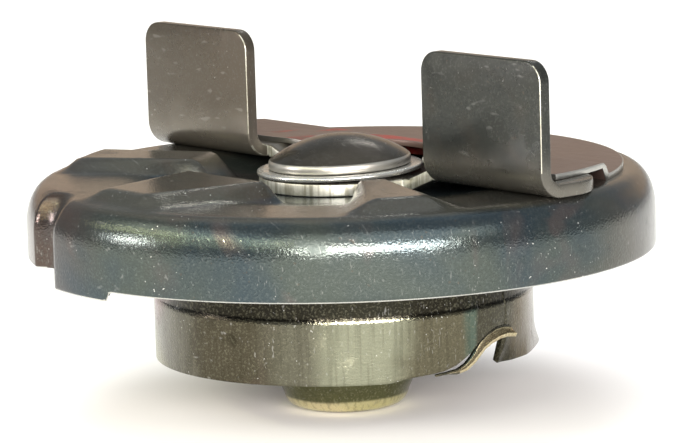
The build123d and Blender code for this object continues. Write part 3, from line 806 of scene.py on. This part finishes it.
def makeHandle():
    piece = copiedNode("handle_plate", "handleStamping")
    roundEdges(piece, handle["rounding"], handle["roundingSteps"], handle["roundingAngle"])

    def cutEdge(place, facing):
        low, high = handle["burrAcross"]
        burr = low < abs(facing.x) < high and facing.y < handle["burrFacing"]
        onEar = place.z > handle["burrBottom"]
        onHub = place.z < handle["outlineTop"] and place.xy.length < handle["outlineReach"]
        return onEar and burr or onHub and abs(facing.z) < handle["outlineFacing"]

    finishPiece(piece, "handle_plate", "handleZinc", smooth=35, cut=cutEdge)


makeHandle()

# Label plate: thin sheet that steps up over the handle's feet; heights from the floor
label = {
    "inner": 14.6, "outer": 43.2, "front": 4.6, "raised": 38.1, "low": 36.1,
    "stepFrom": 17.4, "stepTo": 18.8, "thickness": 0.8, "rounding": 0.00012,
    "rings": 26, "steps": 300, "loose": (5, 17), "wave": 0.12, "waveShare": 0.4,
    "waves": ((1.0, 0.33, 0.6), (0.5, 0.71, 2.0)),  # size, pace and start of each
}


def waveLabel(x, y, z):
    way = min(max((y - label["stepFrom"]) / (label["stepTo"] - label["stepFrom"]), 0.0), 1.0)
    z = label["raised"] + (label["low"] - label["raised"]) * way
    loose = 1 - ramp(y, *label["loose"])
    wave = sum(size * math.sin(pace * x + start) for size, pace, start in label["waves"])
    return x, y, z + label["wave"] * loose * (1 + wave) * label["waveShare"]


def makeLabel():
    width, rings = label["outer"] - label["inner"], label["rings"]
    profile = [(label["inner"] + width * i / rings, label["low"]) for i in range(rings + 1)]
    piece = turnedPiece("labelSheet", profile, label["steps"])
    faceUp(piece)
    for place, cleared in (("front", True), ("stepFrom", False), ("stepTo", False)):
        bpy.ops.object.mode_set(mode="EDIT")
        bpy.ops.mesh.select_all(action="SELECT")
        bpy.ops.mesh.bisect(
            plane_co=(0, label[place] / 1000, 0), plane_no=(0, 1, 0), clear_inner=cleared,
            clear_outer=False, threshold=0.000001)
        bpy.ops.object.mode_set(mode="OBJECT")
    reshape(piece, waveLabel)
    addModifier(piece, "SOLIDIFY", thickness=label["thickness"] / 1000, offset=1.0)
    roundEdges(piece, label["rounding"])
    finishPiece(piece, "label_plate", "labelPrint", smooth=40)


makeLabel()

# Rivet and washer: the head sits slightly askew, as it was peened
rivet = {
    "base": 36.65, "shank": 4.2, "steps": 128,
    "head": (  # heights over the base
        (0.0, 4.90), (2.0, 4.79), (4.0, 4.45), (6.0, 3.88), (7.5, 3.28), (9.0, 2.52), (10.0, 1.91),
        (10.45, 1.60), (10.75, 1.34), (10.88, 1.08), (10.9, 0.30), (10.82, 0.12), (10.5, 0.02),
        (4.2, 0.0)),
    "peen": ((4.2, 30.6), (5.8, 30.6), (5.8, 29.9), (5.4, 29.3), (4.6, 29.0), (0.0, 29.0)),
    "tilt": 1.5, "tiltTowards": 50.0, "spare": 0.01,
}
washer = {
    "inner": 4.2, "outer": 12.7, "base": 35.9, "thickness": 0.75, "rounding": 0.3,
    "corner": 0.09, "margin": 1.2, "steps": 160,
}


def tilted(x, y, z):
    # head and washer are lifted along one side, and the shank stays as it is
    spare = rivet["spare"]
    onShank = math.hypot(x, y) < rivet["shank"] + spare and z < rivet["base"] + spare
    if onShank or z < washer["base"] - spare:
        return x, y, z
    a = math.radians(rivet["tiltTowards"])
    aside = x * math.cos(a) + y * math.sin(a)
    return x, y, z + math.tan(math.radians(rivet["tilt"])) * (aside + washer["outer"])


def makeRivet():
    profile = [(r, rivet["base"] + h) for r, h in rivet["head"]]
    piece = turnedPiece("domedRivet", profile + list(rivet["peen"]), rivet["steps"])
    reshape(piece, tilted)
    finishPiece(piece, "centre_rivet", "rivetSteel", smooth=50)


def makeWasher():
    inner, outer, base = washer["inner"], washer["outer"], washer["base"]
    top, edge, corner = base + washer["thickness"], washer["rounding"], washer["corner"]
    profile = [
        (inner, base), (outer - edge, base), (outer - corner, base + corner), (outer, base + edge),
        (outer, top - edge), (outer - corner, top - corner), (outer - edge, top),
        (outer - washer["margin"], top), (inner, top), (inner, base)]
    piece = turnedPiece("headWasher", profile, washer["steps"])
    reshape(piece, tilted)
    finishPiece(piece, "rivet_washer", "brightZinc", smooth=50)


makeRivet()
makeWasher()

# Bayonet cup: heights are over the cover's edge, so they are negative below it
cup = {
    "radius": 29.1, "thickness": 0.9, "bottom": -15.8, "top": 8.0, "corner": 2.2, "hole": 4.2,
    "steps": 480, "rows": 60, "rounding": 0.00014, "wall": 0.5,
    "cams": (0.0, 180.0), "camMiddle": 3.0, "camStart": (-16, -12), "perDegree": 0.508,
    "camLine": ((-16.0, 0.45), (-11.0, 0.65), (-7.0, 0.95), (-4.6, 1.6), (-2.2, 2.8), (0.0, 4.4),
                (1.9, 5.55), (4.3, 6.2), (6.0, 6.2)),
    "notchEnd": 15.2,
    "flare": ((15, -1.75), (18, -1.7), (22, -0.95), (31, -0.1), (40, 0.0), (46, 0.3), (54, 0.95),
              (70, 1.0), (88, 0.8), (104, 0.0)),
    "flareTop": -11.4, "flarePower": 1.4, "stepLevel": -6.2, "stepHalf": 0.35, "stepDepth": 0.22,
}
stops = {
    "count": 4, "from": 45, "reach": 28.6, "radius": 1.65, "base": 28.3, "height": 1.95,
    "sides": 24,
}
lip = {
    "from": -13.0, "to": 18.6, "across": 8, "along": 90, "curl": 1.25, "turn": 78.0,
    "inset": 0.3, "droop": 0.3, "fullDepth": 1.2, "thickness": 0.62, "rounding": 0.00018,
    "faceTurn": (-14, 19), "faceReach": 29.16, "faceTop": -9.0,
    "line": ((-13.0, 0.62), (-9.7, 0.75), (-5.5, 1.0), (-2.6, 1.6), (-0.2, 2.6), (1.9, 3.7),
             (4.1, 4.85), (6.8, 5.6), (10.4, 6.15), (14.0, 6.2), (17.8, 5.9), (22.0, 5.3)),
    "depth": ((-13.0, 0.0), (-8.0, 0.12), (-4.0, 0.4), (0.0, 0.7), (5.0, 1.0), (10.0, 1.15),
              (18.6, 1.2)),
}


def shapeCup(x, y, z):
    # the edge rises at each cam, the wall beside the first is flared, and the neck is narrower
    c = cup
    h = z - edgeLevel
    r = math.hypot(x, y)
    angle = math.degrees(math.atan2(y, x))
    if r < c["radius"] - c["wall"]:
        return x, y, z
    rise = 0.0
    for cam in c["cams"]:
        turn = turnFrom(angle, cam)
        middle = c["perDegree"] * (turn - c["camMiddle"])
        if c["camStart"][0] < middle and turn < c["notchEnd"]:
            rise = along(c["camLine"], middle) * ramp(middle, *c["camStart"])
    top = c["top"] - c["corner"]
    bottom = c["bottom"] + rise
    if h < top:
        h = top + (h - top) * (top - bottom) / (top - c["bottom"])
    low = min(max((c["flareTop"] - h) / (c["flareTop"] - c["bottom"]), 0.0), 1.0)
    flared = c["flare"][0][0] <= angle <= c["flare"][-1][0]
    flare = along(c["flare"], angle) if flared else 0.0
    half = c["stepHalf"]
    necked = c["stepDepth"] * ramp(h, c["stepLevel"] - half, c["stepLevel"] + half)
    grown = (r + flare * low ** c["flarePower"] - necked) / r
    return x * grown, y * grown, h + edgeLevel


def makeCup():
    c = cup
    points = [(c["hole"], c["top"])] + [(r, c["top"]) for r in (8, 12, 16, 20, 24, 26)]
    for part in range(7):
        turn = math.radians(15 * part)
        points.append((
            c["radius"] - c["corner"] + c["corner"] * math.sin(turn),
            c["top"] - c["corner"] + c["corner"] * math.cos(turn)))
    start = c["top"] - c["corner"]
    for row in range(1, c["rows"] + 1):
        points.append((c["radius"], start + (c["bottom"] - start) * (row / c["rows"])))
    piece = turnedPiece("lancedCup", [(r, h + edgeLevel) for r, h in points], c["steps"])
    faceUp(piece)
    reshape(piece, shapeCup)
    addModifier(piece, "SOLIDIFY", thickness=c["thickness"] / 1000, offset=-1.0)
    roundEdges(piece, c["rounding"])
    return piece


def makeLip(cam):
    # strip turned outwards along the cam's edge
    bpy.ops.object.select_all(action="DESELECT")
    bpy.ops.mesh.primitive_grid_add(
        x_subdivisions=lip["along"], y_subdivisions=lip["across"], size=1.0, location=(0, 0, 0))
    piece = bpy.context.object
    piece.name = "camLip"

    def curl(x, y, z):
        turn = lip["from"] + (lip["to"] - lip["from"]) * (x / 1000 + 0.5)
        part = y / 1000 + 0.5
        depth = along(lip["depth"], turn)
        bend = math.radians(lip["turn"] * part)
        radius = lip["curl"] * depth / lip["fullDepth"]
        full = 1 - math.cos(math.radians(lip["turn"]))
        out = cup["radius"] - lip["inset"] + radius * (1 - math.cos(bend)) / full
        h = cup["bottom"] + along(lip["line"], turn) - radius * math.sin(bend)
        h -= lip["droop"] * part
        a = math.radians(cam + turn)
        return out * math.cos(a), out * math.sin(a), h + edgeLevel

    reshape(piece, curl)
    addModifier(piece, "SOLIDIFY", thickness=lip["thickness"] / 1000, offset=0.0)
    roundEdges(piece, lip["rounding"], 3, 50)
    return piece


def makeStops():
    # small bumps on the cup's wall that the seal plate rests on
    made = []
    middle = stops["base"] + stops["height"] / 2
    for index in range(stops["count"]):
        a = math.radians(stops["from"] + 360 / stops["count"] * index)
        bpy.ops.object.select_all(action="DESELECT")
        place = Vector((stops["reach"] * math.cos(a), stops["reach"] * math.sin(a), middle))
        bpy.ops.mesh.primitive_cylinder_add(
            vertices=stops["sides"], radius=stops["radius"] / 1000,
            depth=stops["height"] / 1000, location=place / 1000)
        bpy.ops.object.transform_apply(location=True, rotation=False, scale=False)
        made.append(bpy.context.object)
    return made


lanced = makeCup()
extras = [makeLip(cam) for cam in cup["cams"]] + makeStops()


def lipFace(place, facing):
    angle = math.degrees(math.atan2(place.y, place.x))
    low, high = lip["faceTurn"]
    near = any(low < turnFrom(angle, cam) < high for cam in cup["cams"])
    return near and place.xy.length > lip["faceReach"] and place.z < edgeLevel + lip["faceTop"]


# the lips' outer faces take the painted-highlight finish
finishPiece(
    joined(lanced, extras), "bayonet_cup", "cupZinc", smooth=45,
    cut=lipFace, cutFinish="lipPaintedSheen")

# Valve housing: a flanged tube necked in at its foot
housing = {
    "steps": 160,
    "profile": (
        (3.0, 0.12), (3.12, 0.0), (7.0, 0.0), (7.9, 0.10), (8.6, 0.42), (9.15, 0.95), (9.5, 1.6),
        (9.75, 2.4), (10.2, 3.4), (10.55, 4.1), (10.7, 4.9), (10.7, 9.0), (10.7, 16.0),
        (10.7, 24.0), (10.7, 29.8), (10.95, 30.35), (11.5, 30.6), (16.0, 30.6), (16.0, 31.4),
        (9.9, 31.4), (9.9, 24.0), (9.9, 12.0), (9.9, 5.0), (9.7, 4.2), (9.0, 2.6), (8.5, 1.6),
        (7.6, 0.9), (6.9, 0.8), (3.12, 0.8), (3.0, 0.68), (3.0, 0.12)),
}


def makeHousing():
    piece = turnedPiece("valveCan", housing["profile"], housing["steps"])
    finishPiece(piece, "valve_housing", "housingZinc", smooth=40)


makeHousing()

# Springs: name, body, joint, height of the fixed end and travel of the other, in millimetres
springs = {
    "star_spring": ("starSpring", "cap_body", "seal_lift", 32.9, 1.2),
    "pressure_spring": ("pressureCoil", "cap_body", "pressure_lift", 24.0, 1.2),
    "vacuum_spring": ("vacuumCoil", "pressure_valve", "vacuum_drop", 13.6, 0.9),
}
for node, (name, body, joint, fixedEnd, travel) in springs.items():
    spring = copiedNode(node, name)
    finishPiece(spring, node, "springSteel", smooth=50, body=body)
    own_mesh(spring)
print("springs ready")
